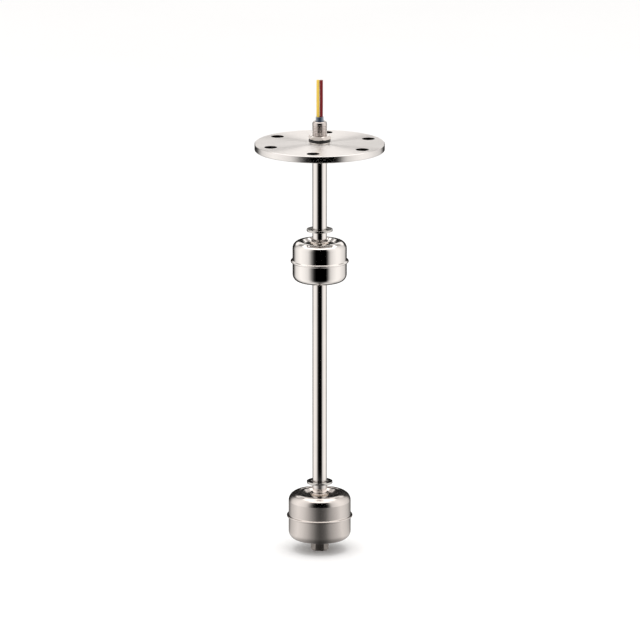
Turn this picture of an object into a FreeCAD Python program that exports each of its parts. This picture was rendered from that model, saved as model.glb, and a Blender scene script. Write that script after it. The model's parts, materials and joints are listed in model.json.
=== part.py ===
# Float level switch with a bolted flange and two floats on one stem.
# Millimetres, +Z up. The origin is the centre of the flange's underside, on the stem axis.
# Every driving size is a cell of the sheet "Sizes"; every sub-part is an object of its own.
import FreeCAD, Part
import math
import os
import re
import Sketcher

sizes = {
    # flange
    "flangeDiameter": (107.5, "outside of the flange"),
    "flangeThick": (5.8, "flange plate"),
    "flangeChamfer": (0.5, "broken edge on both rims"),
    "boltInset": (10, "centres of the bolt holes in from the rim"),
    "boltHole": (10.7, "bolt hole"),
    "boltCount": (6, "bolt holes"),
    "boltTurn": (23, "first bolt hole, degrees from +X"),
    # neck and what clamps it
    "threadDiameter": (12, "outside of the neck thread"),
    "threadClearance": (0.1, "radial gap of the thread in what it passes through"),
    "neckRise": (18.4, "nipple above the flange"),
    "neckRound": (1.4, "rounded mouth of the nipple"),
    "neckBore": (8, "bore for the leads"),
    "shoulderFlats": (19, "hexagon under the flange, across flats"),
    "shoulderDepth": (7, "height of that hexagon"),
    "socketDepth": (5, "socket that takes the stem"),
    "washerDiameter": (17, "flat washer"),
    "washerThick": (1.3, "flat washer"),
    "gasketDiameter": (18, "rubber gasket"),
    "gasketThick": (2.2, "rubber gasket"),
    "softEdge": (0.3, "rounded edge of the washer and the gasket"),
    "nutFlats": (16.5, "lock nut across flats"),
    "nutThick": (3.2, "lock nut"),
    "nutTurn": (45, "lock nut, degrees from a corner on +X"),
    "boreEdge": (0.35, "broken edge of the nut's bore"),
    "chamferReach": (3, "reach of the 30 degree corner chamfers beyond the flats"),
    # stem
    "stemDiameter": (12, "stem tube"),
    "stemWall": (1.5, "wall of the stem tube"),
    "stemReach": (335, "end of the tube under the flange"),
    "fitClearance": (0.05, "radial gap of a fixed fit"),
    "plugFlats": (13, "end plug across flats"),
    "plugThick": (7, "head of the end plug"),
    "plugCorner": (1, "rounded upright edges of the end plug"),
    "plugSpigot": (7, "spigot of the end plug inside the tube"),
    "spigotEdge": (0.5, "lead-in of the spigot"),
    # snap rings
    "clipDiameter": (21.5, "snap ring"),
    "clipThick": (1.8, "snap ring"),
    "clipGroove": (0.6, "depth of its groove in the stem"),
    "clipSide": (0.05, "gap to each side of the groove"),
    "clipRelief": (1.2, "radial gap between the ring and the stem"),
    "clipMouth": (9, "opening of the ring, at the back"),
    "clipReliefArc": (76, "arc of each relief, degrees"),
    "clipReliefTurn": (30, "middle of each relief, degrees towards the front"),
    "clipEdge": (0.2, "worn edge of the ring"),
    # upper float
    "upperLevel": (93.9, "middle of the resting float under the flange"),
    "upperTravel": (8.4, "free travel"),
    "upperDiameter": (45, "shell"),
    "upperHeight": (34, "bore tube and shells"),
    "upperShoulder": (6, "radius of the shoulder"),
    "upperStep": (31.5, "diameter of the pressed step"),
    "upperRecess": (24, "diameter of the inner recess"),
    "upperBead": (1.6, "equator bead beyond the shell"),
    "upperMagnet": (22, "outside of the ring magnet"),
    # lower float
    "lowerGap": (1, "end plug below the ring that the float rests on"),
    "lowerTravel": (7.8, "free travel"),
    "lowerDiameter": (52, "shell"),
    "lowerHeight": (40, "bore tube and shells"),
    "lowerShoulder": (7, "radius of the shoulder"),
    "lowerStep": (36.6, "diameter of the pressed step"),
    "lowerRecess": (31, "diameter of the inner recess"),
    "lowerBead": (1.5, "equator bead beyond the shell"),
    "lowerMagnet": (22, "outside of the ring magnet"),
    # what both floats share
    "boreClearance": (0.5, "radial gap between the stem and the bore tube"),
    "boreWall": (0.6, "wall of the bore tube"),
    "sheetThick": (0.6, "sheet of the shells"),
    "stepDepth": (0.6, "pressed step"),
    "pressRound": (0.8, "rounds of the pressed recess"),
    "recessDepth": (1.4, "inner recess below the step"),
    "recessSlope": (1.6, "draft of the recess wall"),
    "beadHalf": (0.8, "half the height of the equator bead"),
    "beadRound": (0.7, "round of the bead"),
    "beadRoot": (0.7, "hollow between the bead and the shell"),
    "magnetHeight": (8, "ring magnet"),
    "magnetGap": (0.1, "gap of the magnet on its holder"),
    "holderWall": (0.7, "sleeve of the magnet holder"),
    "holderFoot": (1.2, "foot flange of the magnet holder"),
    # reed strip
    "boardWidth": (6, "reed board"),
    "boardThick": (1, "reed board"),
    "boardTop": (18, "top edge under the flange"),
    "boardGap": (0.15, "gap between the board and a reed"),
    "reedDiameter": (2.4, "glass capsule"),
    "reedLength": (14, "glass capsule"),
    "reedWall": (0.4, "glass wall"),
    "reedSeal": (2, "solid glass at each end"),
    "bladeWidth": (1.2, "reed blade"),
    "bladeThick": (0.25, "reed blade"),
    "bladeOverlap": (1.5, "overlap of the two blades"),
    "bladeGap": (0.2, "open contact gap"),
    "pinDiameter": (0.6, "round end of a blade"),
    "pinReach": (2, "round end beyond the glass"),
    "pinRoot": (1, "round end inside the capsule"),
    "pinClearance": (0.02, "gap of a pin in the glass"),
    # leads
    "leadDiameter": (2.6, "insulated lead"),
    "leadGap": (0.1, "gap between the two leads"),
    "leadLap": (4, "lead lying against the reed board"),
    "pottingTop": (16, "top of the potting above the underside"),
    "sleeveDiameter": (6.6, "sleeve round the leads"),
    "sleeveWall": (0.5, "sleeve round the leads"),
    "sleeveRise": (3.8, "sleeve above the mouth of the neck"),
}

doc = FreeCAD.newDocument("FloatLevelSwitch")
sheet = doc.addObject("Spreadsheet::Sheet", "Sizes")
for row, (alias, (number, note)) in enumerate(sizes.items(), start=1):
    sheet.set(f"A{row}", str(number))
    sheet.set(f"B{row}", note)
    sheet.setAlias(f"A{row}", alias)
doc.recompute()


def cells(formula):
    """The formula with every size name turned into its cell."""
    return re.sub(r"[A-Za-z]\w*", lambda word: f"Sizes.{word[0]}" if word[0] in sizes else word[0], formula)


def value(formula):
    return float(sheet.evalExpression(cells(formula)))


def bind(thing, **formulas):
    """Binds properties to formulas of sizes; double underscores stand for dots."""
    for name, formula in formulas.items():
        thing.setExpression(name.replace("__", "."), cells(formula))
    return thing


def add(kind, name, **formulas):
    return bind(doc.addObject(kind, name), **formulas)


def boolean(kind, name, base, tool):
    result = doc.addObject(kind, name)
    result.Base = base
    result.Tool = tool
    return result


def finish(thing, node, height="0", turn=None):
    """Gives a finished sub-part its node name and its place on the stem axis."""
    thing.Label = node
    bind(thing, Placement__Base__z=height)
    if turn:
        thing.Placement.Rotation = FreeCAD.Rotation(FreeCAD.Vector(0, 0, 1), 0)
        bind(thing, Placement__Rotation__Angle=turn)
    subParts.append(thing)
    return thing


subParts = []
levels = {  # middle of each resting float under the flange
    "upper": "upperLevel",
    "lower": "(stemReach - lowerGap - clipThick - lowerHeight / 2)",
}


# ---- sketches ----

def newBody(node):
    body = doc.addObject("PartDesign::Body", node + "_body")
    body.Label = node
    return body


def newSketch(body, name, plane):
    sketch = body.newObject("Sketcher::SketchObject", name)
    origin = [item for item in body.Origin.OriginFeatures if item.Role == plane]
    sketch.AttachmentSupport = [(origin[0], "")]
    sketch.MapMode = "FlatFace"
    return sketch


def pin(sketch, index, point, corner):
    """Ties one point of the sketch to the origin by two formulas."""
    for kind, axis, formula in (("DistanceX", -2, corner[0]), ("DistanceY", -1, corner[1])):
        if formula == "0":
            sketch.addConstraint(Sketcher.Constraint("PointOnObject", index, point, axis))
            continue
        distance = Sketcher.Constraint(kind, -1, 1, index, point, value(formula))
        number = sketch.addConstraint(distance)
        sketch.renameConstraint(number, f"{kind}{index}")
        sketch.setExpression(f"Constraints.{kind}{index}", cells(formula))


def outline(body, name, corners, plane="XZ_Plane"):
    """Closed polygon whose corners are pairs of formulas."""
    sketch = newSketch(body, name, plane)
    points = [FreeCAD.Vector(value(x), value(y), 0) for x, y in corners]
    for start, end in zip(points, points[1:] + points[:1]):
        sketch.addGeometry(Part.LineSegment(start, end))
    for index, corner in enumerate(corners):
        sketch.addConstraint(Sketcher.Constraint("Coincident", index, 2, (index + 1) % len(corners), 1))
        pin(sketch, index, 1, corner)
    return sketch


def circle(body, name, radius, centre=("0", "0"), plane="XY_Plane"):
    sketch = newSketch(body, name, plane)
    middle = FreeCAD.Vector(value(centre[0]), value(centre[1]), 0)
    sketch.addGeometry(Part.Circle(middle, FreeCAD.Vector(0, 0, 1), value(radius)))
    pin(sketch, 0, 3, centre)
    sketch.addConstraint(Sketcher.Constraint("Radius", 0, value(radius)))
    sketch.renameConstraint(sketch.ConstraintCount - 1, "size")
    sketch.setExpression("Constraints.size", cells(radius))
    return sketch


def turned(body, name, sketch, kind="PartDesign::Revolution"):
    feature = body.newObject(kind, name)
    feature.Profile = sketch
    feature.ReferenceAxis = (sketch, ["V_Axis"])
    feature.Angle = 360
    doc.recompute()
    return feature


def extruded(body, name, sketch, length, kind="PartDesign::Pad"):
    feature = body.newObject(kind, name)
    feature.Profile = sketch
    feature.Reversed = kind.endswith("Pocket")
    bind(feature, Length=length)
    doc.recompute()
    return feature


def ringEdges(shape, radius, height):
    """Names of the full circles of that radius at that height, round the body's own axis."""
    found = []
    for number, edge in enumerate(shape.Edges, start=1):
        curve = edge.Curve
        if not isinstance(curve, Part.Circle) or math.hypot(curve.Center.x, curve.Center.y) > 0.001:
            continue
        if abs(curve.Radius - value(radius)) < 0.001 and abs(curve.Center.z - value(height)) < 0.001:
            found.append(f"Edge{number}")
    return found


def dressed(body, name, rings, amount, kind="PartDesign::Fillet"):
    """Fillet or chamfer on circular edges given as (radius, height) formulas."""
    base = body.Tip
    names = [edge for radius, height in rings for edge in ringEdges(base.Shape, radius, height)]
    feature = body.newObject(kind, name)
    feature.Base = (base, names)
    bind(feature, **{"Radius" if kind.endswith("Fillet") else "Size": amount})
    doc.recompute()
    return feature


# ---- sub-parts ----

def makeRing(node, inner, outer, thick, height, edge=None):
    """A turned or moulded ring that sits with its lower face at the given height."""
    body = newBody(node)
    corners = [(inner, "0"), (outer, "0"), (outer, thick), (inner, thick)]
    turned(body, node + "_ring", outline(body, node + "_section", corners))
    if edge:
        dressed(body, node + "_edges", [(outer, "0"), (outer, thick)], edge)
    return finish(body, node, height)


def hexagon(body, name, flats):
    """Hexagon with a corner on +X."""
    corner, half, side = f"{flats} / sqrt(3)", f"{flats} / sqrt(12)", f"{flats} / 2"
    corners = [(corner, "0"), (half, side), ("-" + half, side)]
    corners += [("-" + corner, "0"), ("-" + half, "-" + side), (half, "-" + side)]
    return outline(body, name, corners, plane="XY_Plane")


def cornerChamfer(body, name, flats, face, inward):
    """Turns the hexagon's corners off at 30 degrees from one end face."""
    reach = f"{flats} / 2 + chamferReach"
    corners = [(f"{flats} / 2", face), (reach, face), (reach, f"{face} {inward} chamferReach / sqrt(3)")]
    return turned(body, name, outline(body, name + "_section", corners), "PartDesign::Groove")


def makeFlange():
    body = newBody("flange_plate")
    extruded(body, "Disc", circle(body, "DiscOutside", "flangeDiameter / 2"), "flangeThick")
    dressed(body, "RimEdges", [("flangeDiameter / 2", "0"), ("flangeDiameter / 2", "flangeThick")],
            "flangeChamfer", "PartDesign::Chamfer")
    passage = circle(body, "NeckPassageEdge", "threadDiameter / 2 + threadClearance")
    extruded(body, "NeckPassage", passage, "flangeThick", "PartDesign::Pocket")
    first = circle(body, "BoltHoleEdge", "boltHole / 2", centre=("flangeDiameter / 2 - boltInset", "0"))
    hole = extruded(body, "BoltHole", first, "flangeThick", "PartDesign::Pocket")
    pattern = body.newObject("PartDesign::PolarPattern", "BoltHoles")
    pattern.Originals = [hole]
    pattern.Axis = (first, ["N_Axis"])
    pattern.Angle = 360
    bind(pattern, Occurrences="boltCount")
    body.Tip = pattern
    return finish(body, "flange_plate", turn="boltTurn")


def makeNeck():
    """Threaded nipple, hexagon shoulder under the flange and socket for the stem, turned from one bar."""
    body = newBody("neck_fitting")
    shoulder = body.newObject("PartDesign::Pad", "Shoulder")
    shoulder.Profile = hexagon(body, "ShoulderHexagon", "shoulderFlats")
    shoulder.Reversed = True
    bind(shoulder, Length="shoulderDepth")
    doc.recompute()
    cornerChamfer(body, "ShoulderCorners", "shoulderFlats", "-shoulderDepth", "+")
    outside, mouth, floor = "threadDiameter / 2", "flangeThick + neckRise", "socketDepth - shoulderDepth"
    nipple = [("0", "0"), (outside, "0"), (outside, mouth), ("0", mouth)]
    turned(body, "Nipple", outline(body, "NippleSection", nipple))
    dressed(body, "NippleMouth", [(outside, mouth)], "neckRound")
    socket = "stemDiameter / 2 + fitClearance"
    bore = [("0", "-shoulderDepth"), (socket, "-shoulderDepth"), (socket, floor),
            ("neckBore / 2", floor), ("neckBore / 2", mouth), ("0", mouth)]
    turned(body, "LeadBore", outline(body, "LeadBoreSection", bore), "PartDesign::Groove")
    return finish(body, "neck_fitting")


def makeNut():
    body = newBody("lock_nut")
    extruded(body, "NutBlank", hexagon(body, "NutHexagon", "nutFlats"), "nutThick")
    cornerChamfer(body, "NutTopCorners", "nutFlats", "nutThick", "-")
    cornerChamfer(body, "NutLowerCorners", "nutFlats", "0", "+")
    bore = "threadDiameter / 2 + threadClearance"
    extruded(body, "NutBore", circle(body, "NutBoreEdge", bore), "nutThick", "PartDesign::Pocket")
    dressed(body, "NutBoreEdges", [(bore, "0"), (bore, "nutThick")], "boreEdge", "PartDesign::Chamfer")
    return finish(body, "lock_nut", "flangeThick + washerThick + gasketThick", "nutTurn")


def makeStem(clipBases):
    """Tube with one groove for each snap ring."""
    body = newBody("stem_tube")
    outside, inside, top = "stemDiameter / 2", "stemDiameter / 2 - stemWall", "socketDepth - shoulderDepth"
    tube = [(inside, "-stemReach"), (outside, "-stemReach"), (outside, top), (inside, top)]
    turned(body, "Tube", outline(body, "TubeSection", tube))
    for number, base in enumerate(clipBases, start=1):
        floor, beyond = "stemDiameter / 2 - clipGroove", "stemDiameter / 2 + clipGroove"
        low, high = f"{base} - clipSide", f"{base} + clipThick + clipSide"
        groove = [(floor, low), (beyond, low), (beyond, high), (floor, high)]
        section = outline(body, f"GrooveSection{number}", groove)
        turned(body, f"ClipGroove{number}", section, "PartDesign::Groove")
    return finish(body, "stem_tube")


def makePlug():
    body = newBody("end_plug")
    head = body.newObject("PartDesign::Pad", "PlugHead")
    head.Profile = hexagon(body, "PlugHexagon", "plugFlats")
    head.Reversed = True
    bind(head, Length="plugThick")
    doc.recompute()
    upright = [f"Edge{number}" for number, edge in enumerate(head.Shape.Edges, start=1)
               if abs(edge.BoundBox.ZLength - value("plugThick")) < 0.001]
    corners = body.newObject("PartDesign::Fillet", "PlugCorners")
    corners.Base = (head, upright)
    bind(corners, Radius="plugCorner")
    doc.recompute()
    cornerChamfer(body, "PlugLowerCorners", "plugFlats", "-plugThick", "+")
    spigot = "stemDiameter / 2 - stemWall - fitClearance"
    extruded(body, "Spigot", circle(body, "SpigotEdge", spigot), "plugSpigot")
    dressed(body, "SpigotLeadIn", [(spigot, "plugSpigot")], "spigotEdge", "PartDesign::Chamfer")
    return finish(body, "end_plug", "-stemReach")


def makeClip(node, base):
    """Snap ring with three prongs; it opens to the back."""
    body = newBody(node)
    outside, grip = "clipDiameter / 2", "stemDiameter / 2 - clipGroove + fitClearance"
    extruded(body, node + "_disc", circle(body, node + "_outside", outside), "clipThick")
    dressed(body, node + "_edges", [(outside, "0"), (outside, "clipThick")], "clipEdge")
    extruded(body, node + "_grip", circle(body, node + "_gripEdge", grip), "clipThick", "PartDesign::Pocket")
    edge = "stemDiameter / 2 + clipRelief"
    inner = "stemDiameter / 2 - clipGroove"
    section = outline(body, node + "_reliefSection",
                      [(inner, "0"), (edge, "0"), (edge, "clipThick"), (inner, "clipThick")])
    section.AttachmentOffset = FreeCAD.Placement(FreeCAD.Vector(), FreeCAD.Rotation(FreeCAD.Vector(0, 1, 0), 1))
    bind(section, AttachmentOffset__Rotation__Angle="-clipReliefTurn")
    relief = body.newObject("PartDesign::Groove", node + "_relief")
    relief.Profile = section
    relief.ReferenceAxis = (section, ["V_Axis"])
    relief.Midplane = True
    bind(relief, Angle="clipReliefArc")
    doc.recompute()
    mirror = body.newObject("PartDesign::Mirrored", node + "_reliefs")
    mirror.Originals = [relief]
    mirror.MirrorPlane = ([item for item in body.Origin.OriginFeatures if item.Role == "YZ_Plane"][0], [""])
    body.Tip = mirror
    doc.recompute()
    mouth = [("-clipMouth / 2", "0"), ("clipMouth / 2", "0"),
             ("clipMouth / 2", "clipDiameter"), ("-clipMouth / 2", "clipDiameter")]
    extruded(body, node + "_mouth", outline(body, node + "_mouthEdge", mouth, plane="XY_Plane"),
             "clipThick", "PartDesign::Pocket")
    return finish(body, node, base)


def makeShell(node, prefix, below=False):
    """One pressed half of a float, from the equator up; the lower half is the same piece turned over."""
    body = newBody(node)
    wall, crest, step = f"{prefix}Diameter / 2", f"{prefix}Height / 2", f"{prefix}Step / 2"
    recess, ledge = f"{prefix}Recess / 2", f"{prefix}Height / 2 - stepDepth"
    floor = f"{ledge} - recessDepth"
    outside = [("0", "0"), (wall, "0"), (wall, crest), (step, crest), (f"{step} - stepDepth", ledge),
               (recess, ledge), (f"{recess} - recessSlope", floor), ("0", floor)]
    turned(body, node + "_blank", outline(body, node + "_outside", outside))
    bore = "stemDiameter / 2 + boreClearance + boreWall + fitClearance"
    inside = [("0", "0"), (f"{wall} - sheetThick", "0"), (f"{wall} - sheetThick", f"{crest} - sheetThick"),
              (step, f"{crest} - sheetThick"), (f"{step} - stepDepth", f"{ledge} - sheetThick"),
              (f"{recess} + sheetThick", f"{ledge} - sheetThick"),
              (f"{recess} - recessSlope + sheetThick", f"{floor} - sheetThick"), ("0", f"{floor} - sheetThick")]
    turned(body, node + "_hollow", outline(body, node + "_inside", inside), "PartDesign::Groove")
    dressed(body, node + "_innerShoulder", [(f"{wall} - sheetThick", f"{crest} - sheetThick")],
            f"{prefix}Shoulder - sheetThick")
    dressed(body, node + "_shoulder", [(wall, crest)], f"{prefix}Shoulder")
    rounds = [(step, crest), (recess, ledge), (f"{recess} - recessSlope", floor)]
    dressed(body, node + "_rounds", rounds, "pressRound")
    lip = [(f"{wall} - sheetThick", "0"), (f"{wall} + {prefix}Bead", "0"),
           (f"{wall} + {prefix}Bead", "beadHalf"), (f"{wall} - sheetThick", "beadHalf")]
    turned(body, node + "_lip", outline(body, node + "_lipSection", lip))
    dressed(body, node + "_bead", [(f"{wall} + {prefix}Bead", "beadHalf")], "beadRound")
    dressed(body, node + "_beadRoot", [(wall, "beadHalf")], "beadRoot")
    extruded(body, node + "_bore", circle(body, node + "_boreEdge", bore), crest, "PartDesign::Pocket")
    if below:
        body.Placement.Rotation = FreeCAD.Rotation(FreeCAD.Vector(1, 0, 0), 180)
    return finish(body, node, f"-{levels[prefix]}")


def makeMagnetHolder(node, prefix, inner, outer):
    """Sleeve on the bore tube with a foot that the magnet sits on."""
    body = newBody(node)
    foot, height = f"{prefix}Magnet / 2", "holderFoot + magnetHeight"
    corners = [(inner, "0"), (foot, "0"), (foot, "holderFoot"),
               (outer, "holderFoot"), (outer, height), (inner, height)]
    turned(body, node + "_turned", outline(body, node + "_section", corners))
    return finish(body, node, f"-{levels[prefix]} - magnetHeight / 2 - holderFoot")


def makeFloat(prefix):
    inner = "stemDiameter / 2 + boreClearance"
    outer = f"{inner} + boreWall"
    sleeve = f"{outer} + fitClearance + holderWall"
    makeShell(f"{prefix}_float_top_shell", prefix)
    makeShell(f"{prefix}_float_bottom_shell", prefix, below=True)
    makeRing(f"{prefix}_float_bore_tube", inner, outer, f"{prefix}Height", f"-{levels[prefix]} - {prefix}Height / 2")
    makeMagnetHolder(f"{prefix}_magnet_holder", prefix, f"{outer} + fitClearance", sleeve)
    makeRing(f"{prefix}_ring_magnet", f"{sleeve} + magnetGap", f"{prefix}Magnet / 2", "magnetHeight",
             f"-{levels[prefix]} - magnetHeight / 2")


def makeReedGlass(node, middle):
    """Glass tube closed round the two pins."""
    body = newBody(node)
    hole, outside, inside = "pinDiameter / 2 + pinClearance", "reedDiameter / 2", "reedDiameter / 2 - reedWall"
    low, high = "reedSeal", "reedLength - reedSeal"
    corners = [(hole, "0"), (outside, "0"), (outside, "reedLength"), (hole, "reedLength"),
               (hole, high), (inside, high), (inside, low), (hole, low)]
    turned(body, node + "_tube", outline(body, node + "_section", corners))
    dressed(body, node + "_ends", [(outside, "0"), (outside, "reedLength")], "reedWall")
    return finish(body, node, f"{middle} - reedLength / 2")


def makeBlade(node, middle, side):
    """Flat blade, round pin through the glass and bent leg to the board; side is +1 above, -1 below."""
    root, out = "reedLength / 2 - reedSeal - pinRoot", "reedLength / 2 + pinReach"
    blade = add("Part::Box", node + "_blade", Length="bladeWidth", Width="bladeThick",
                Height=f"{root} + pinRoot / 2 + bladeOverlap / 2",
                Placement__Base__x="-bladeWidth / 2", Placement__Base__z="-bladeOverlap / 2",
                Placement__Base__y="bladeGap / 2" if side > 0 else "-bladeGap / 2 - bladeThick")
    stalk = add("Part::Cylinder", node + "_pin", Radius="pinDiameter / 2", Height=f"{out} - ({root})",
                Placement__Base__z=root)
    leg = add("Part::Cylinder", node + "_leg", Radius="pinDiameter / 2", Height="reedDiameter / 2 + boardGap",
              Placement__Base__z=f"{out} - pinDiameter / 2")
    leg.Placement.Rotation = FreeCAD.Rotation(FreeCAD.Vector(1, 0, 0), -90)
    joined = boolean("Part::Fuse", node + "_joined", boolean("Part::Fuse", node + "_straight", blade, stalk), leg)
    if side < 0:
        joined.Placement.Rotation = FreeCAD.Rotation(FreeCAD.Vector(0, 1, 0), 180)
    return finish(joined, node, middle)


def makeReed(prefix):
    middle = f"-{levels[prefix]} + {prefix}Travel"
    makeReedGlass(f"{prefix}_reed_glass", middle)
    makeBlade(f"{prefix}_reed_top_blade", middle, 1)
    makeBlade(f"{prefix}_reed_bottom_blade", middle, -1)


def makeBoard():
    board = add("Part::Box", "ReedBoard", Length="boardWidth", Width="boardThick",
                Height="stemReach - plugSpigot - boardTop",
                Placement__Base__x="-boardWidth / 2", Placement__Base__y="reedDiameter / 2 + boardGap")
    return finish(board, "reed_board", "plugSpigot - stemReach")


def makePotting():
    """Resin in the neck bore, cast round the two leads."""
    low = "socketDepth - shoulderDepth"
    cast = add("Part::Cylinder", "CastResin", Radius="neckBore / 2 - fitClearance", Height=f"pottingTop - ({low})")
    for side in ("-", "+"):
        hole = add("Part::Cylinder", "LeadHole", Radius="leadDiameter / 2 + pinClearance",
                   Height=f"pottingTop - ({low})", Placement__Base__x=f"{side}1 * (leadDiameter + leadGap) / 2")
        cast = boolean("Part::Cut", "CastResinCut", cast, hole)
    return finish(cast, "neck_potting", low)


def makeWire(node, side):
    """The lead's own continuation from the potting down to the board."""
    wire = add("Part::Cylinder", node + "_run", Radius="leadDiameter / 2", Height="pottingTop + boardTop + leadLap",
               Placement__Base__x=f"{side}1 * (leadDiameter + leadGap) / 2")
    return finish(wire, node, "-boardTop - leadLap")


# ---- free leads ----

leadRoutes = {
    "yellow_lead": [(-1.35, 0.0, 16), (-1.35, 0.0, 30), (-1.4, 0.1, 44), (-1.3, 0.4, 58.7)],
    "red_lead": [(1.35, 0.0, 16), (1.35, 0.0, 30), (1.42, -0.1, 44), (1.36, -0.3, 58.7)],
}


def roundedPath(points):
    """Straight runs joined by tangent arcs, each as large as its two runs allow."""
    corners = [FreeCAD.Vector(*point) for point in points]
    edges, radii, start = [], [], corners[0]
    for before, corner, after in zip(corners, corners[1:], corners[2:]):
        incoming, outgoing = (corner - before), (after - corner)
        reach = 0.45 * min(incoming.Length, outgoing.Length)
        turn = incoming.getAngle(outgoing)
        radii.append(reach / math.tan(turn / 2))
        incoming.normalize()
        outgoing.normalize()
        enter, leave = corner - incoming * reach, corner + outgoing * reach
        inward = (outgoing - incoming).normalize()
        middle = corner + inward * (radii[-1] / math.cos(turn / 2) - radii[-1])
        edges += [Part.LineSegment(start, enter).toShape(), Part.Arc(enter, middle, leave).toShape()]
        start = leave
    edges.append(Part.LineSegment(start, corners[-1]).toShape())
    return Part.Wire(edges), radii


def makeLead(node):
    path, radii = roundedPath(leadRoutes[node])
    radius = value("leadDiameter / 2")
    start, direction = path.Edges[0].valueAt(0), path.Edges[0].tangentAt(0)
    section = Part.Wire(Part.makeCircle(radius, start, direction))
    lead = doc.addObject("Part::Feature", node)
    lead.Shape = path.makePipeShell([section], True, False)
    lead.Label = node
    subParts.append(lead)
    expected = math.pi * radius ** 2 * path.Length
    print(f"{node}: radii {[round(r, 1) for r in radii]} mm, length {path.Length:.2f} mm, "
          f"volume {lead.Shape.Volume:.2f} of {expected:.2f} mm3")


# ---- assembly ----

def clipPlaces(prefix):
    """Lower faces of the snap rings above and below one float."""
    above = f"-{levels[prefix]} + {prefix}Height / 2 + {prefix}Travel"
    below = f"-{levels[prefix]} - {prefix}Height / 2 - clipThick"
    return above, below


passage = "threadDiameter / 2 + threadClearance"
makeFlange()
makeNeck()
makeRing("flat_washer", passage, "washerDiameter / 2", "washerThick", "flangeThick", "softEdge")
makeRing("rubber_gasket", passage, "gasketDiameter / 2", "gasketThick", "flangeThick + washerThick", "softEdge")
makeNut()
makeStem([place for prefix in ("upper", "lower") for place in clipPlaces(prefix)])
makePlug()
for prefix in ("upper", "lower"):
    top, bottom = clipPlaces(prefix)
    makeClip(f"{prefix}_top_clip", top)
    makeClip(f"{prefix}_bottom_clip", bottom)
    makeFloat(prefix)
    makeReed(prefix)
makeBoard()
makePotting()
makeWire("yellow_wire", "-")
makeWire("red_wire", "+")
makeRing("lead_sleeve", "sleeveDiameter / 2 - sleeveWall", "sleeveDiameter / 2",
         "flangeThick + neckRise + sleeveRise - pottingTop", "pottingTop")
makeLead("yellow_lead")
makeLead("red_lead")
doc.recompute()

for thing in doc.Objects:
    if "Invalid" in thing.State or "Error" in thing.State:
        raise RuntimeError(f"{thing.Label} is {thing.State}")
os.makedirs("parts", exist_ok=True)
for thing in subParts:
    shape = thing.Shape
    if shape.isNull() or not shape.isValid() or not shape.Solids:
        raise RuntimeError(f"{thing.Label} has no valid solid")
    shape.exportStep(f"parts/{thing.Label}.step")
    print(f"{thing.Label}: {len(shape.Solids)} solid, {shape.Volume:.1f} mm3")
print(len(subParts), "sub-parts")
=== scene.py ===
# Float level switch: a turned flange, a polished stem and two welded floats, lit in a small light tent.
# Metres, +Z up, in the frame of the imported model.
import json
import math

import bpy
import numpy as np
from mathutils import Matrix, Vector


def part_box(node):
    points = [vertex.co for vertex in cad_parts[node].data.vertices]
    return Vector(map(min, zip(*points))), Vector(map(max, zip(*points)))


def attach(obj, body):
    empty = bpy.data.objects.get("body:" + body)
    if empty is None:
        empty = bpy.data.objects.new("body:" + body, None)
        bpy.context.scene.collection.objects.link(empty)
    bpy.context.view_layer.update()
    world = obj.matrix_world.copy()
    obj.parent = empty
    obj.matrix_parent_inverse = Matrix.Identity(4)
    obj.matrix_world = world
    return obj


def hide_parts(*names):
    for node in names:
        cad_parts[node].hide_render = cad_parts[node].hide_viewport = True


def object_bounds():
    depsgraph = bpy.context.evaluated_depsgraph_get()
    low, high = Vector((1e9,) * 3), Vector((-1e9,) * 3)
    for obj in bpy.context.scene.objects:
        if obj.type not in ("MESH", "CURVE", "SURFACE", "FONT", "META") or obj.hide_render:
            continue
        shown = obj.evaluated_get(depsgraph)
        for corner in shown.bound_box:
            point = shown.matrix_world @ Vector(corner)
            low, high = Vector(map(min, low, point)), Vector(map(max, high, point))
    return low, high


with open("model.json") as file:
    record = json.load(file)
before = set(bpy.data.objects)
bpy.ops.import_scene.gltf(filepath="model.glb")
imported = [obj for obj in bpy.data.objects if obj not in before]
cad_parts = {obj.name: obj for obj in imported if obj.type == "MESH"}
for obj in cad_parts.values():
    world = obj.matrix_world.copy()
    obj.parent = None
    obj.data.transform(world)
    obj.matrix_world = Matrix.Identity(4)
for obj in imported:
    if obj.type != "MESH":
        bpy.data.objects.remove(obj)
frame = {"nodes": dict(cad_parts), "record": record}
nodes = frame["nodes"]
cadLow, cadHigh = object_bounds()
millimetre = 0.001
print("frame loaded:", len(nodes), "nodes")


# sRGB hex to linear: c/12.92 below 0.04045, else ((c + 0.055)/1.055)^2.4
def linearColour(hexValue):
    channels = [int(hexValue[i:i + 2], 16) / 255 for i in (1, 3, 5)]
    return [c / 12.92 if c <= 0.04045 else ((c + 0.055) / 1.055) ** 2.4 for c in channels] + [1.0]


# Inputs are values by socket, links are sources by socket, settings are the node's own properties
def addNode(tree, kind, inputs=None, links=None, **settings):
    node = tree.nodes.new("ShaderNode" + kind)
    for name, value in settings.items():
        setattr(node, name, value)
    for name, value in (inputs or {}).items():
        node.inputs[name].default_value = value
    for name, source in (links or {}).items():
        tree.links.new(source, node.inputs[name])
    return node


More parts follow.
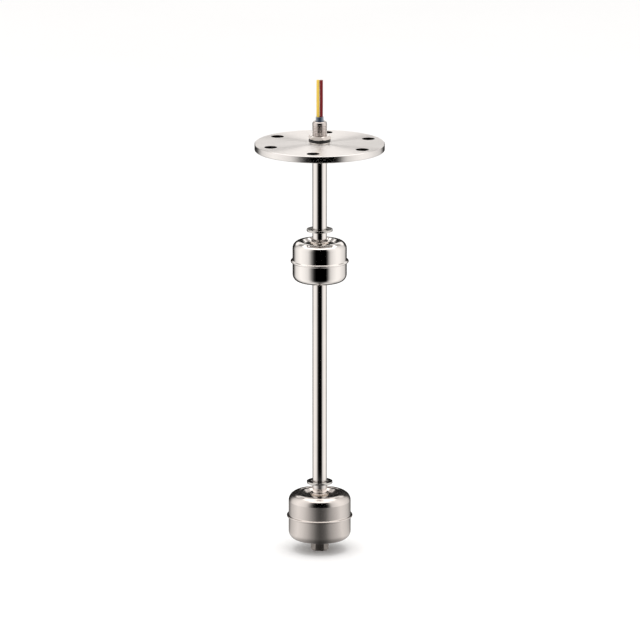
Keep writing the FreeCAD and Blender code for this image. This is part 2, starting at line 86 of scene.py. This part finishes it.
# A material whose colour drifts between two shades as slowly as grain says, in metres.
# Even values are set on the shader's own sockets.
def newMaterial(name, colour, shade, grain, **shader):
    material = bpy.data.materials.new(name)
    material.use_nodes = True
    tree = material.node_tree
    principled = tree.nodes["Principled BSDF"]
    for socket, value in shader.items():
        principled.inputs[socket.replace("_", " ")].default_value = value
    place = addNode(tree, "TexCoord")
    cloud = addNode(tree, "TexNoise", {"Scale": 1 / grain, "Detail": 4.0},
                    {"Vector": place.outputs["Object"]})
    tint = addNode(tree, "Mix", data_type="RGBA")
    tint.inputs["A"].default_value = linearColour(colour)
    tint.inputs["B"].default_value = linearColour(shade)
    tree.links.new(cloud.outputs["Fac"], tint.inputs["Factor"])
    tree.links.new(tint.outputs["Result"], principled.inputs["Base Color"])
    return material, tree, principled, place, cloud


# Relief of the given depth in metres; over, where given, is the node whose normal this relief rides on
def addBump(tree, principled, height, depth, over=None):
    bump = addNode(tree, "Bump", {"Strength": 1.0, "Distance": depth}, {"Height": height})
    if over:
        tree.links.new(over.outputs["Normal"], bump.inputs["Normal"])
    tree.links.new(bump.outputs["Normal"], principled.inputs["Normal"])
    return bump


# Noise whose grain has its own length along each axis, in metres
def stretchedNoise(tree, place, grains, detail=2.0):
    stretched = addNode(tree, "Mapping", {"Scale": [1 / grain for grain in grains]},
                        {"Vector": place.outputs["Object"]})
    return addNode(tree, "TexNoise", {"Scale": 1.0, "Detail": detail},
                   {"Vector": stretched.outputs["Vector"]})


# The base colour goes over to another one as factor goes from 0 to 1
def blendColour(tree, principled, colour, factor):
    blend = addNode(tree, "Mix", data_type="RGBA")
    blend.inputs["B"].default_value = linearColour(colour)
    tree.links.new(principled.inputs["Base Color"].links[0].from_socket, blend.inputs["A"])
    tree.links.new(factor, blend.inputs["Factor"])
    tree.links.new(blend.outputs["Result"], principled.inputs["Base Color"])


# A mesh object at the origin from plain arrays, smooth but for edges over smoothAngle degrees
def meshPiece(name, points, faces, material, smoothAngle=35):
    mesh = bpy.data.meshes.new(name)
    mesh.from_pydata(points.reshape(-1, 3).tolist(), [], faces.tolist())
    mesh.update()
    mesh.polygons.foreach_set("use_smooth", np.ones(len(mesh.polygons), bool))
    mesh.set_sharp_from_angle(angle=math.radians(smoothAngle))
    mesh.materials.append(material)
    piece = bpy.data.objects.new(name, mesh)
    bpy.context.scene.collection.objects.link(piece)
    return piece


# Quads of a grid of points: rows i and i+1 joined over columns j and j+1, wrapped where closed
def gridFaces(rows, columns, closeRows=False):
    i = np.arange(rows if closeRows else rows - 1)[:, None]
    j = np.arange(columns)[None, :]
    nextRow, nextColumn = (i + 1) % rows, (j + 1) % columns
    corners = [i * columns + j, i * columns + nextColumn,
               nextRow * columns + nextColumn, nextRow * columns + j]
    return np.stack(np.broadcast_arrays(*corners), -1).reshape(-1, 4)


# Angles of the columns of a turned grid, one row high
def columnAngles(columns):
    return np.linspace(0, 2 * np.pi, columns, endpoint=False)[None, :]


# Points of a turned surface: x = r cos a, y = r sin a, z = h, with a going round along the columns
def turnedPoints(radius, height):
    angle = columnAngles(radius.shape[1])
    return np.stack([radius * np.cos(angle), radius * np.sin(angle), height + 0 * radius], -1)


camera = {
    "distance": 4.65,       # from the stem axis, level
    "height": 0.984,        # above the flange's underside
    "sideways": 0.00028,    # right of the stem axis
    "tilt": 13.64,          # degrees below level
    "lens": 324,            # millimetres, as is the sensor
    "sensor": 36,
    "sight": 60,            # metres, past the far end of the floor
}
lens = bpy.data.cameras.new("productCamera")
lens.lens = camera["lens"]
lens.sensor_width = camera["sensor"]
lens.clip_end = camera["sight"]
cameraObject = bpy.data.objects.new("productCamera", lens)
cameraObject.location = (camera["sideways"], -camera["distance"], camera["height"])
cameraObject.rotation_euler = (math.radians(90 - camera["tilt"]), 0, 0)
bpy.context.scene.collection.objects.link(cameraObject)
bpy.context.scene.camera = cameraObject
bpy.context.scene.view_settings.view_transform = "Standard"
print("camera placed")


leads = {
    "diameter": 2.6 * millimetre,
    "length": 43 * millimetre,
    # routes in millimetres, from the resin up to the cut end
    "yellow": [(-1.35, 0, 16), (-1.35, 0, 30), (-1.4, 0.1, 44), (-1.3, 0.4, 58.7)],
    "red": [(1.35, 0, 16), (1.35, 0, 30), (1.42, -0.1, 44), (1.36, -0.3, 58.7)],
    "strandDiameter": 0.4 * millimetre,     # seven tinned strands in each lead
    "strandSpread": 1.025,                  # spacing of the strands, in diameters
    "strandRise": 0.12 * millimetre,        # above the cut insulation
    "strandDepth": 0.8 * millimetre,        # below it
    "strandSides": 10,
}


def insulation(name, colour, shade):
    # Soft PVC, extruded over the strands: an even colour with a wide soft sheen and faint lines along it
    material, tree, principled, place, cloud = newMaterial(
        name, colour, shade, 4 * millimetre, Roughness=0.5, Specular_IOR_Level=0.25, Subsurface_Weight=0.08,
        Subsurface_Radius=(0.0006, 0.0003, 0.0002))
    lines = stretchedNoise(tree, place, (0.4 * millimetre, 0.4 * millimetre, 16 * millimetre), 3.0)
    addBump(tree, principled, lines.outputs["Fac"], 0.01 * millimetre)
    return material


def tinnedCopper():
    # Tinned copper wire, drawn: silver-grey with a warm cast where the cut shows copper
    return newMaterial("tinnedCopperStrand", "#c9a184", "#b9b3ab", 0.3 * millimetre,
                       Metallic=1.0, Roughness=0.35)[0]


# Seven short rods, one in the middle and six round it, each closed by a rounded end:
# r = R cos t and z = R sin t over the last rows
def makeStrands(name, tip, material):
    strand, rise, sides = leads["strandDiameter"] / 2, leads["strandRise"], leads["strandSides"]
    turn = np.linspace(0, np.pi / 2, 4)[1:-1]
    radius = np.concatenate([[strand, strand], strand * np.cos(turn), [strand * 0.02]])
    height = np.concatenate([[-leads["strandDepth"], rise - strand],
                             rise - strand + strand * np.sin(turn), [rise]])
    rod = turnedPoints(np.repeat(radius[:, None], sides, 1), height[:, None]).reshape(-1, 3)
    around = np.arange(6) * np.pi / 3
    ring = leads["strandSpread"] * 2 * strand * np.stack([np.cos(around), np.sin(around), 0 * around], -1)
    centres = np.concatenate([[[0, 0, 0]], ring])
    points = rod[None] + centres[:, None] + np.array(tip)
    faces = gridFaces(len(radius), sides)[None] + (np.arange(len(centres)) * len(rod))[:, None, None]
    return meshPiece(name, points, faces.reshape(-1, 4), material)


# One lead: a tube along its given route, bare strands at its tip
def makeLead(colourName, material, strandMaterial):
    route = [tuple(c * millimetre for c in point) for point in leads[colourName]]
    curve = bpy.data.curves.new(colourName + "_lead_insulation", "CURVE")
    curve.dimensions = "3D"
    curve.resolution_u = 12
    curve.bevel_depth = leads["diameter"] / 2
    curve.bevel_resolution = 8
    curve.use_fill_caps = True
    spline = curve.splines.new("NURBS")
    spline.points.add(len(route) - 1)
    for point, place in zip(spline.points, route):
        point.co = (*place, 1)
    spline.order_u = 3
    spline.use_endpoint_u = True
    curve.materials.append(material)
    piece = bpy.data.objects.new(colourName + "_lead_insulation", curve)
    bpy.context.scene.collection.objects.link(piece)
    strands = makeStrands(colourName + "_lead_strands", route[-1], strandMaterial)
    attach(piece, "root")
    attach(strands, "root")
    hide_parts(colourName + "_lead")


yellowInsulation = insulation("yellowPvcInsulation", "#f0d060", "#e3bd4a")
redInsulation = insulation("redPvcInsulation", "#7d0d16", "#6b0b13")
strandMetal = tinnedCopper()
makeLead("yellow", yellowInsulation, strandMetal)
makeLead("red", redInsulation, strandMetal)
print("leads made")


# A metal whose roughness drifts by spread as its colour drifts between two shades
def metal(name, colour, shade, roughness, spread, grain, **shader):
    material, tree, principled, place, cloud = newMaterial(
        name, colour, shade, grain, Metallic=1.0, Roughness=roughness, **shader)
    wear = addNode(tree, "MapRange", {"To Min": roughness - spread, "To Max": roughness + spread},
                   {"Value": cloud.outputs["Fac"]})
    tree.links.new(wear.outputs["Result"], principled.inputs["Roughness"])
    return material, tree, principled, place, wear


# Grooves run round the Z axis, as on anything turned, and spread the light across themselves, so the
# direction given is a quarter turn from round
def brushAround(tree, principled):
    around = addNode(tree, "Tangent", direction_type="RADIAL", axis="Z")
    tree.links.new(around.outputs["Tangent"], principled.inputs["Tangent"])
    principled.inputs["Anisotropic Rotation"].default_value = 0.25


flange = {
    "feed": 0.6 * millimetre,           # the tool's feed of 0.15 mm, drawn as fine as shows
    "grooveDepth": 0.012 * millimetre,
    "rimRoughness": 0.2,
    "holesWithin": 51 * millimetre,     # radius that all bolt holes lie inside
    # a dark colour painted on the walls of the bolt holes as their shade
    "holeWallPaintedShade": "#4e4a48",
}


def turnedFlange():
    # Stainless steel, faced on a lathe: rings of fine grooves throw fans of light out from the axis, while
    # the rim, cut with a fine feed, is nearer to a mirror, and the walls of the holes get a dark colour
    # painted in as their shade
    material, tree, principled, place, wear = metal(
        "turnedStainlessFlange", "#e6e3e1", "#dad7d5", 0.39, 0.04, 30 * millimetre, Anisotropic=0.9)
    brushAround(tree, principled)
    axis = addNode(tree, "SeparateXYZ", links={"Vector": place.outputs["Object"]})
    flat = addNode(tree, "CombineXYZ", links={"X": axis.outputs["X"], "Y": axis.outputs["Y"]})
    radius = addNode(tree, "VectorMath", operation="LENGTH", links={0: flat.outputs["Vector"]})
    grooves = addNode(tree, "TexNoise", {"Scale": 1 / flange["feed"], "Detail": 3.0, "Roughness": 0.7},
                      {"W": radius.outputs["Value"]}, noise_dimensions="1D")
    addBump(tree, principled, grooves.outputs["Fac"], flange["grooveDepth"])
    # facing is 1 on the flat faces and 0 on the rim
    surface = addNode(tree, "NewGeometry")
    normal = addNode(tree, "SeparateXYZ", links={"Vector": surface.outputs["Normal"]})
    facing = addNode(tree, "Math", operation="ABSOLUTE", links={0: normal.outputs["Z"]})
    rough = addNode(tree, "Mix", {"A": flange["rimRoughness"]},
                    {"Factor": facing.outputs["Value"], "B": wear.outputs["Result"]})
    tree.links.new(rough.outputs["Result"], principled.inputs["Roughness"])
    # 1 on the walls of the holes, inside the rim and upright: there a dark colour is painted in as the
    # holes' shade
    inside = addNode(tree, "Math", {1: flange["holesWithin"]}, {0: radius.outputs["Value"]},
                     operation="LESS_THAN")
    upright = addNode(tree, "Math", {1: 0.5}, {0: facing.outputs["Value"]}, operation="LESS_THAN")
    holeShadeMask = addNode(tree, "Math", links={0: inside.outputs["Value"], 1: upright.outputs["Value"]},
                      operation="MULTIPLY")
    blendColour(tree, principled, flange["holeWallPaintedShade"], holeShadeMask.outputs["Value"])
    return material


def polishedTube():
    # Stainless tube, mirror polished along its length: sharp reflections that wander very slightly
    material, tree, principled, place, wear = metal(
        "polishedStainlessTube", "#e6e2df", "#ddd9d6", 0.08, 0.015, 16 * millimetre)
    wander = stretchedNoise(tree, place, (1.1 * millimetre, 1.1 * millimetre, 80 * millimetre))
    addBump(tree, principled, wander.outputs["Fac"], 0.003 * millimetre)
    return material


def floatShell(name, colour, shade, roughness, ripple):
    # Thin stainless sheet, pressed then polished: broad bands of light that waver with slow dents from the
    # press and break into fine rings from the wheel
    material, tree, principled, place, wear = metal(name, colour, shade, roughness, 0.015, 22 * millimetre)
    slow = addNode(tree, "TexNoise", {"Scale": 1 / (14 * millimetre)}, {"Vector": place.outputs["Object"]})
    rings = stretchedNoise(tree, place, (25 * millimetre, 25 * millimetre, 0.6 * millimetre))
    dents = addBump(tree, principled, slow.outputs["Fac"], 0.04 * millimetre)
    addBump(tree, principled, rings.outputs["Fac"], ripple, dents)
    return material


def turnedSteel(name, colour, shade, roughness, anisotropy=0.4):
    # Stainless bar, turned: bands of light run along the axis, broken by fine tool rings
    material, tree, principled, place, wear = metal(
        name, colour, shade, roughness, 0.03, 5 * millimetre, Anisotropic=anisotropy)
    brushAround(tree, principled)
    rings = stretchedNoise(tree, place, (16 * millimetre, 16 * millimetre, 0.33 * millimetre))
    addBump(tree, principled, rings.outputs["Fac"], 0.004 * millimetre)
    return material


def stampedSteel(name, colour, shade, roughness):
    # Stainless strip, stamped and tumbled: an even grey with tiny dings, and worn edges that catch the light
    material, tree, principled, place, wear = metal(name, colour, shade, roughness, 0.04, 2 * millimetre)
    dings = stretchedNoise(tree, place, [0.5 * millimetre] * 3, 3.0)
    worn = addNode(tree, "Bevel", {"Radius": 0.7 * millimetre}, samples=6)
    addBump(tree, principled, dings.outputs["Fac"], 0.006 * millimetre, worn)
    return material


def weldMetal():
    # Weld bead, laid by arc without filler: bright ripples with a straw tint
    return metal("arcWeldBead", "#c9beb0", "#a99a8d", 0.28, 0.08, 2.5 * millimetre)[0]


# A moulded or cast surface with a fine skin of the given grain and depth
def moulded(name, colour, shade, roughness, grain, depth, **shader):
    material, tree, principled, place, cloud = newMaterial(
        name, colour, shade, grain, Roughness=roughness, **shader)
    addBump(tree, principled, cloud.outputs["Fac"], depth)
    return material


def shrinkSleeve():
    # Clear heat shrink over a navy liner: dark seen square on; pale towards the edges, partly the clear wall
    # seen along, partly painted sheen
    material, tree, principled, place, cloud = newMaterial(
        "clearShrinkSleeve", "#26384f", "#1c2c42", 2 * millimetre, Roughness=0.22, IOR=1.5)
    # a pale colour painted in towards the edges, as the sleeve's sheen
    paintedEdgeSheen = addNode(tree, "LayerWeight", {"Blend": 0.35})
    blendColour(tree, principled, "#d5dfe8", paintedEdgeSheen.outputs["Facing"])
    return material


finishes = {
    "turned_steel": turnedFlange(),
    "neck_steel": turnedSteel("turnedStainlessNeck", "#cfc8c4", "#bfb7b3", 0.13, 0.0),
    "washer_steel": stampedSteel("stampedStainlessWasher", "#e6e2de", "#d8d3cf", 0.2),
    "nut_steel": turnedSteel("milledStainlessNut", "#dedad6", "#d0cbc7", 0.1, 0.0),
    "stem_steel": polishedTube(),
    "plug_steel": turnedSteel("turnedStainlessPlug", "#c4bdb8", "#b2aaa5", 0.22),
    "clip_steel": stampedSteel("stampedSpringSteelRing", "#cfcdca", "#c1bfbc", 0.12),
    "upper_float_steel": floatShell("mirrorPolishedFloat", "#e9e6e3", "#e2dedb", 0.07, 0.0015 * millimetre),
    "lower_float_steel": floatShell("satinPolishedFloat", "#ded8d4", "#d3ccc8", 0.16, 0.003 * millimetre),
    "bore_steel": turnedSteel("drawnStainlessBoreTube", "#e2ddd9", "#d4cec9", 0.12),
    # Nitrile rubber, moulded: near black, dull, with a fine skin
    "gasket_rubber": moulded("mouldedNitrileRubber", "#0e0d0d", "#171615", 0.55,
                             0.3 * millimetre, 0.01 * millimetre),
    # Glass epoxy laminate, routed: green with a woven mottle
    "board_laminate": moulded("glassEpoxyLaminate", "#2f6b3f", "#3d7d4c", 0.5,
                              0.6 * millimetre, 0.01 * millimetre),
    # Epoxy, cast round the wires: black and glossy
    "potting_resin": moulded("castBlackEpoxy", "#121213", "#1c1c1e", 0.25,
                             1.5 * millimetre, 0.02 * millimetre),
    "yellow_insulation": yellowInsulation,
    "red_insulation": redInsulation,
    "sleeve_plastic": shrinkSleeve(),
    # Soda glass tube, drawn and sealed by flame: clear with a green cast
    "reed_glass": moulded("drawnReedGlass", "#d6efe0", "#e2f4ea", 0.03,
                          4 * millimetre, 0.005 * millimetre, Transmission_Weight=0.95, IOR=1.5),
    # Nickel iron, flattened and plated: pale grey metal
    "reed_alloy": stampedSteel("platedNickelIron", "#c9c8c4", "#bdbbb6", 0.22),
    # Natural nylon, moulded: milky and slightly translucent
    "holder_nylon": moulded("mouldedNaturalNylon", "#ebe8dc", "#e0dccd", 0.45,
                            0.8 * millimetre, 0.01 * millimetre, Subsurface_Weight=0.15),
    # Ferrite, pressed and sintered: charcoal grey and grainy
    "magnet_ferrite": moulded("sinteredFerrite", "#2b2a2a", "#3a3938", 0.6,
                              0.25 * millimetre, 0.02 * millimetre),
}
for part in frame["record"]["subparts"]:
    nodes[part["node"]].data.materials.clear()
    nodes[part["node"]].data.materials.append(finishes[part["material_slot"]])
print("finishes given to", len(nodes), "nodes")


neck = {
    "threadRadius": 6 * millimetre,
    "pitch": 1.25 * millimetre,
    "threadDepth": 0.36 * millimetre,
    "flankSlope": 3.4,                  # how fast the groove deepens, and where in the turn it starts
    "flankStart": 2.2,
    "rowsPerTurn": 14,
    "plainMouth": 2.6 * millimetre,     # unthreaded length under the mouth
    "mouthRound": 1.3 * millimetre,
    "mouthFall": 2.5 * millimetre,      # height of the rounded mouth
    "mouthRows": 10,
    "bore": 4 * millimetre,
    "socketRadius": 6.05 * millimetre,
    "socketFloor": -2 * millimetre,
    "flats": 19 * millimetre,
    "chamferRise": 1.6 * millimetre,    # height over which the cone cuts the hexagon's corners
    "chamferAngle": 60,                 # degrees from the axis
    "columns": 180,
}


# Distance from the axis to a hexagon's side: r = (flats/2) / cos(a), with a from the middle of the side
def hexagonRadius(flats, angle):
    return flats / 2 / np.cos(angle % (np.pi / 3) - np.pi / 6)


# A turned grid whose rows run up the outside and down the bore. The outside is, from below, a hexagon cut by
# a cone, r = min(hexagon, flats/2 + (z - zFace) tan(chamfer)), then a screw thread, r = R - depth groove(p)
# with p = z/pitch - a/2pi and groove(p) = slope (1 - |2p - 1|) - start held between 0 and 1, and then a
# quarter of an ellipse at the mouth.
def makeNeck():
    low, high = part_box("neck_fitting")
    angle = columnAngles(neck["columns"])
    hexagon = hexagonRadius(neck["flats"], angle)
    shoulder = np.linspace(0, neck["chamferRise"], 5)[:, None]
    cone = neck["flats"] / 2 + shoulder * math.tan(math.radians(neck["chamferAngle"]))
    rows = [(np.minimum(hexagon, cone), low.z + shoulder), (hexagon, np.array([[0.0]]))]
    threadTop = high.z - neck["mouthFall"]
    z = np.linspace(0, threadTop, int(threadTop / neck["pitch"] * neck["rowsPerTurn"]))[:, None]
    phase = (z / neck["pitch"] - angle / (2 * np.pi)) % 1
    groove = np.clip(neck["flankSlope"] * (1 - np.abs(2 * phase - 1)) - neck["flankStart"], 0, 1)
    ending = np.clip((high.z - neck["plainMouth"] - z) / neck["pitch"], 0, 1)
    rows.append((neck["threadRadius"] - neck["threadDepth"] * groove * ending, z))
    turn = np.linspace(0, np.pi / 2, neck["mouthRows"])[1:, None]
    rows.append((neck["threadRadius"] - neck["mouthRound"] * (1 - np.cos(turn)),
                 threadTop + neck["mouthFall"] * np.sin(turn)))
    inside = [(neck["bore"], high.z), (neck["bore"], neck["socketFloor"]),
              (neck["socketRadius"], neck["socketFloor"]), (neck["socketRadius"], low.z)]
    rows += [(np.array([[r]]), np.array([[h]])) for r, h in inside]
    shapes = [(max(len(r), len(h)), neck["columns"]) for r, h in rows]
    radius = np.concatenate([np.broadcast_to(r, shape) for (r, h), shape in zip(rows, shapes)])
    height = np.concatenate([np.broadcast_to(h, shape) for (r, h), shape in zip(rows, shapes)])
    piece = meshPiece("threaded_neck", turnedPoints(radius, height),
                      gridFaces(*radius.shape, closeRows=True), finishes["neck_steel"])
    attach(piece, "root")
    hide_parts("neck_fitting")


makeNeck()
print("neck threaded")


# A closed outline through (radius, height, fillet) corners. A fillet f at a corner of angle 2h starts at
# f/tan(h) from it, and its arc of angle w goes from a to b as (a sin((1 - t) w) + b sin(t w)) / sin(w).
def roundedOutline(corners, steps, endRow):
    points = []
    for before, corner, after in zip(corners[-1:] + corners[:-1], corners, corners[1:] + corners[:1]):
        corner, fillet = np.array(corner[:2]), corner[2]
        if not fillet:
            points.append(corner)
            continue
        back, forth = (side / np.linalg.norm(side) for side in (before[:2] - corner, after[:2] - corner))
        half = np.arccos(back @ forth) / 2
        middle = back + forth
        centre = corner + middle / np.linalg.norm(middle) * fillet / np.sin(half)
        start, end = (corner + side * fillet / np.tan(half) - centre for side in (back, forth))
        sweep, t = np.pi - 2 * half, np.linspace(0, 1, steps)[:, None]
        points.extend(centre + (start * np.sin((1 - t) * sweep) + end * np.sin(t * sweep)) / np.sin(sweep))
    # a long straight run gets a row near each end, so that its shading stays straight between them
    points = np.array(points)
    ends = np.roll(points, -1, axis=0)
    length = np.linalg.norm(ends - points, axis=1, keepdims=True)
    step = (ends - points) * endRow / length
    rows = np.stack([points, points + step, ends - step], 1)
    kept = np.hstack([length > 0, length > 4 * endRow, length > 4 * endRow])
    return rows[kept]


# Top shells, in millimetres out from the axis and up from the equator. Each dish lists its corners inwards
# from the crest, as (radius, height, fillet).
shells = {
    "upper_float": {"wall": 22.5, "top": 17, "shoulder": 6, "bead": 1.6,
                    "dish": [(14.2, 17, 0.4), (12.2, 15.3, 0.5)]},
    "lower_float": {"wall": 26, "top": 20, "shoulder": 7, "bead": 1.5,
                    "dish": [(18.3, 20, 0.25), (17.9, 19.7, 0.25), (14.8, 19.7, 0.4), (12.6, 18, 0.5)]},
    "beadHalf": 0.8,        # half the thickness of the bead, which the bottom shell completes
    "beadRound": 0.65,
    "sheet": 0.8,
    "bore": 7.15,           # radius that the bore tube fills
    "arcSteps": 9,
    "endRow": 0.15,
    "columns": 192,
}


# A turned grid. The outside goes from the bead over the shoulder into the dish, and the inside comes back
# one sheet's thickness away. The equator is at the middle of the bore tube.
def makeTopShell(body):
    shell, sheet, rim = shells[body], shells["sheet"], shells["beadRound"]
    wall, top, shoulder, dish = shell["wall"], shell["top"], shell["shoulder"], shell["dish"]
    floor = dish[-1][1]
    outside = [(wall + shell["bead"], 0, 0), (wall + shell["bead"], shells["beadHalf"], rim),
               (wall, shells["beadHalf"], rim), (wall, top, shoulder), *dish, (shells["bore"], floor, 0)]
    inside = [(shells["bore"], floor - sheet, 0), (dish[-1][0] + 0.5 * sheet, floor - sheet, 0),
              (dish[0][0] + sheet, top - sheet, 0), (wall - sheet, top - sheet, shoulder - sheet),
              (wall - sheet, 0, 0)]
    outline = roundedOutline(outside + inside, shells["arcSteps"], shells["endRow"]) * millimetre
    tubeLow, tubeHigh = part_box(body + "_bore_tube")
    radius = np.repeat(outline[:, :1], shells["columns"], 1)
    points = turnedPoints(radius, outline[:, 1:] + (tubeLow.z + tubeHigh.z) / 2)
    piece = meshPiece(body + "_dished_shell", points, gridFaces(*radius.shape, closeRows=True),
                      finishes[body + "_steel"])
    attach(piece, body)
    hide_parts(body + "_top_shell")


for body in ("upper_float", "lower_float"):
    makeTopShell(body)
print("top shells dished")


welds = {
    "radius": 0.55 * millimetre,    # half the width of a bead
    "ripplePitch": 0.8 * millimetre,
    "rippleDepth": 0.07 * millimetre,
    "rows": 12,
    "columns": 288,
    "dishDepth": 1.85 * millimetre, # from the end of a bore tube to the weld round it
}


# A rippled ring in the corner between a tube and a face: a small circle carried round the tube,
# r = R + s cos b and z = h + s sin b, with s = bead - ripple * saw(a)^2
def makeWeld(name, body, seatRadius, height, material):
    angle = columnAngles(welds["columns"])
    around = columnAngles(welds["rows"]).T
    count = round(2 * np.pi * seatRadius / welds["ripplePitch"])
    saw = (angle * count / (2 * np.pi)) % 1
    size = welds["radius"] - welds["rippleDepth"] * saw ** 2
    points = turnedPoints(seatRadius + size * np.cos(around), height + size * np.sin(around))
    faces = gridFaces(welds["rows"], welds["columns"], closeRows=True)[:, ::-1]
    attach(meshPiece(name, points, faces, material), body)


weldBead = weldMetal()
stemLow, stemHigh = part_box("stem_tube")
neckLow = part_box("neck_fitting")[0]
makeWeld("stem_weld", "root", stemHigh.x, neckLow.z, weldBead)
makeWeld("plug_weld", "root", stemHigh.x, stemLow.z, weldBead)
for body in ("upper_float", "lower_float"):
    tubeLow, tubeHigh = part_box(body + "_bore_tube")
    makeWeld(body + "_top_weld", body, tubeHigh.x, tubeHigh.z - welds["dishDepth"], weldBead)
    makeWeld(body + "_bottom_weld", body, tubeHigh.x, tubeLow.z + welds["dishDepth"], weldBead)
print("welds laid")


stage = {
    "floorColour": "#f7f6f5",
    "floorReach": 9.0,
    "tentRadius": 0.6,
    "tentTop": 0.55,
    # azimuth in degrees, from the camera's side towards +X, and how bright the cloth is there
    "cloth": [(-180, 0.02), (-146, 0.03), (-137, 0.15), (-129, 0.5), (-119, 0.9), (-105, 1.08),
              (-88, 1.25), (-66, 1.13), (-50, 0.95), (-41, 0.6), (-33, 0.24), (-24, 0.03), (-16, 0),
              (28, 0), (34, 0.12), (40, 0.48), (47, 0.84), (60, 1.05), (76, 1.22), (92, 1.2), (108, 1.02),
              (124, 0.88), (134, 0.7), (142, 0.24), (150, 0.05), (180, 0.02)],
    # the same for the floor by the object
    "hearth": [(-180, 0.1), (-150, 0.2), (-135, 0.32), (-120, 0.66), (-101, 0.85), (-80, 1.04),
               (-60, 0.9), (-40, 0.62), (-26, 0.38), (-10, 0.15), (0, 0.09), (10, 0.11), (20, 0.18),
               (35, 0.43), (59, 0.7), (79, 0.97), (101, 0.86), (120, 0.66), (135, 0.32), (150, 0.2),
               (180, 0.1)],
    "hearthEnd": (0.18, 0.25),  # radius over which the hearth gives way to the cloth's own list
    "backDark": (125, 145),     # degrees over which the cloth turns dark towards the back
    "backTop": (0.07, 0.12),    # height over which the back turns bright
    "backFade": (0.2, 0.4),     # height over which it fades again
    "backGlow": (1.25, 0.35),   # at the top of that rise and under the ceiling
    "ceilingGlow": 1.8,
    "shade": (0.02, 0.05),      # radius over which the object's own shade ends
    "shadeGlow": 0.45,
    "tentLift": 0.3 * millimetre,   # keeps the tent's floor off the paper
    "tentColumns": 360,
    "tentRows": {"floor": 48, "wall": 70, "ceiling": 12},
    "softboxPlace": (0.0, -0.2, 1.7),
    "softboxSize": 1.6,
    "softboxWatts": 16,
    "worldGlow": 1.0,
}


def floorPaper():
    # White paper sweep, matt: even and nearly white
    return newMaterial("whitePaperSweep", stage["floorColour"], "#fbfaf9", 0.3,
                       Roughness=0.9, Specular_IOR_Level=0.1)[0]


# One square of paper at the given level
def makeFloor(level):
    square = stage["floorReach"] * np.array([[-1, -1], [1, -1], [1, 1], [-1, 1]])
    corners = np.column_stack([square, np.full(4, level)])
    meshPiece("paper_floor", corners, np.array([[0, 1, 2, 3]]), floorPaper())


# 0 below low, 1 above high and 3t^2 - 2t^3 between them
def smoothStep(low, high, x):
    t = np.clip((x - low) / (high - low), 0, 1)
    return t * t * (3 - 2 * t)


# How bright the tent is. The wall follows the cloth's list by azimuth, and its dark back turns bright above
# backTop and fades towards the ceiling. The floor goes from the hearth's list to the cloth's, and darkens
# in the object's shade: paper = list (s + (1 - s) smoothStep(r)).
def tentGlow(azimuth, radius, height, level):
    cloth, hearth = (np.interp(azimuth, *zip(*stage[name])) for name in ("cloth", "hearth"))
    paper = hearth + (cloth - hearth) * smoothStep(*stage["hearthEnd"], radius)
    paper = paper * (stage["shadeGlow"] + (1 - stage["shadeGlow"]) * smoothStep(*stage["shade"], radius))
    back = smoothStep(*stage["backDark"], np.abs(azimuth)) * smoothStep(*stage["backTop"], height)
    fade = smoothStep(*stage["backFade"], height)
    high = stage["backGlow"][0] * (1 - fade) + stage["backGlow"][1] * fade
    wall = cloth * (1 - back) + high * back
    ceiling = (height >= stage["tentTop"]) & (radius < stage["tentRadius"])
    floor = (height <= level) & (radius < stage["tentRadius"])
    return np.where(ceiling, stage["ceilingGlow"], np.where(floor, paper, wall))


# A drum round the object that only reflections see: rows go out over the floor, closer together near the
# object, up the wall and in under the ceiling, and each point glows as tentGlow says
def makeTent(level):
    top, reach, rows = stage["tentTop"], stage["tentRadius"], stage["tentRows"]
    out = np.linspace(0.02, 1, rows["floor"]) ** 1.5 * reach
    up = np.linspace(level, top, rows["wall"])[1:]
    over = np.linspace(0.98, 0.02, rows["ceiling"]) * reach
    radius = np.concatenate([out, np.full(len(up), reach), over])[:, None]
    radius = np.repeat(radius, stage["tentColumns"], 1)
    height = np.concatenate([np.full(len(out), level), up, np.full(len(over), top)])[:, None]
    points = turnedPoints(radius, height)
    azimuth = np.degrees(np.arctan2(points[..., 0], -points[..., 1]))
    glow = tentGlow(azimuth, radius, points[..., 2], level)
    material = bpy.data.materials.new("tentCloth")
    material.use_nodes = True
    tree = material.node_tree
    tree.nodes.clear()
    painted = addNode(tree, "Attribute", attribute_name="glow")
    light = addNode(tree, "Emission", {"Color": linearColour("#fffcf9")},
                    {"Strength": painted.outputs["Fac"]})
    addNode(tree, "OutputMaterial", links={"Surface": light.outputs["Emission"]})
    material.cycles.emission_sampling = "NONE"
    piece = meshPiece("light_tent", points, gridFaces(*radius.shape), material)
    glowLayer = piece.data.attributes.new("glow", "FLOAT", "POINT")
    glowLayer.data.foreach_set("value", glow.ravel().astype(np.float32))
    piece.visible_camera = False
    piece.visible_diffuse = False
    piece.visible_transmission = False
    piece.visible_shadow = False


# A square lamp that faces straight down and that no metal mirrors
def makeSoftbox():
    lamp = bpy.data.lights.new("overhead_softbox", "AREA")
    lamp.size = stage["softboxSize"]
    lamp.energy = stage["softboxWatts"]
    box = bpy.data.objects.new("overhead_softbox", lamp)
    box.location = stage["softboxPlace"]
    box.visible_glossy = False
    bpy.context.scene.collection.objects.link(box)


makeFloor(cadLow.z)
makeTent(cadLow.z + stage["tentLift"])
makeSoftbox()
world = bpy.data.worlds.new("paleStudio")
bpy.context.scene.world = world
world.use_nodes = True
world.node_tree.nodes["Background"].inputs["Color"].default_value = linearColour("#ffffff")
world.node_tree.nodes["Background"].inputs["Strength"].default_value = stage["worldGlow"]
print("stage lit")
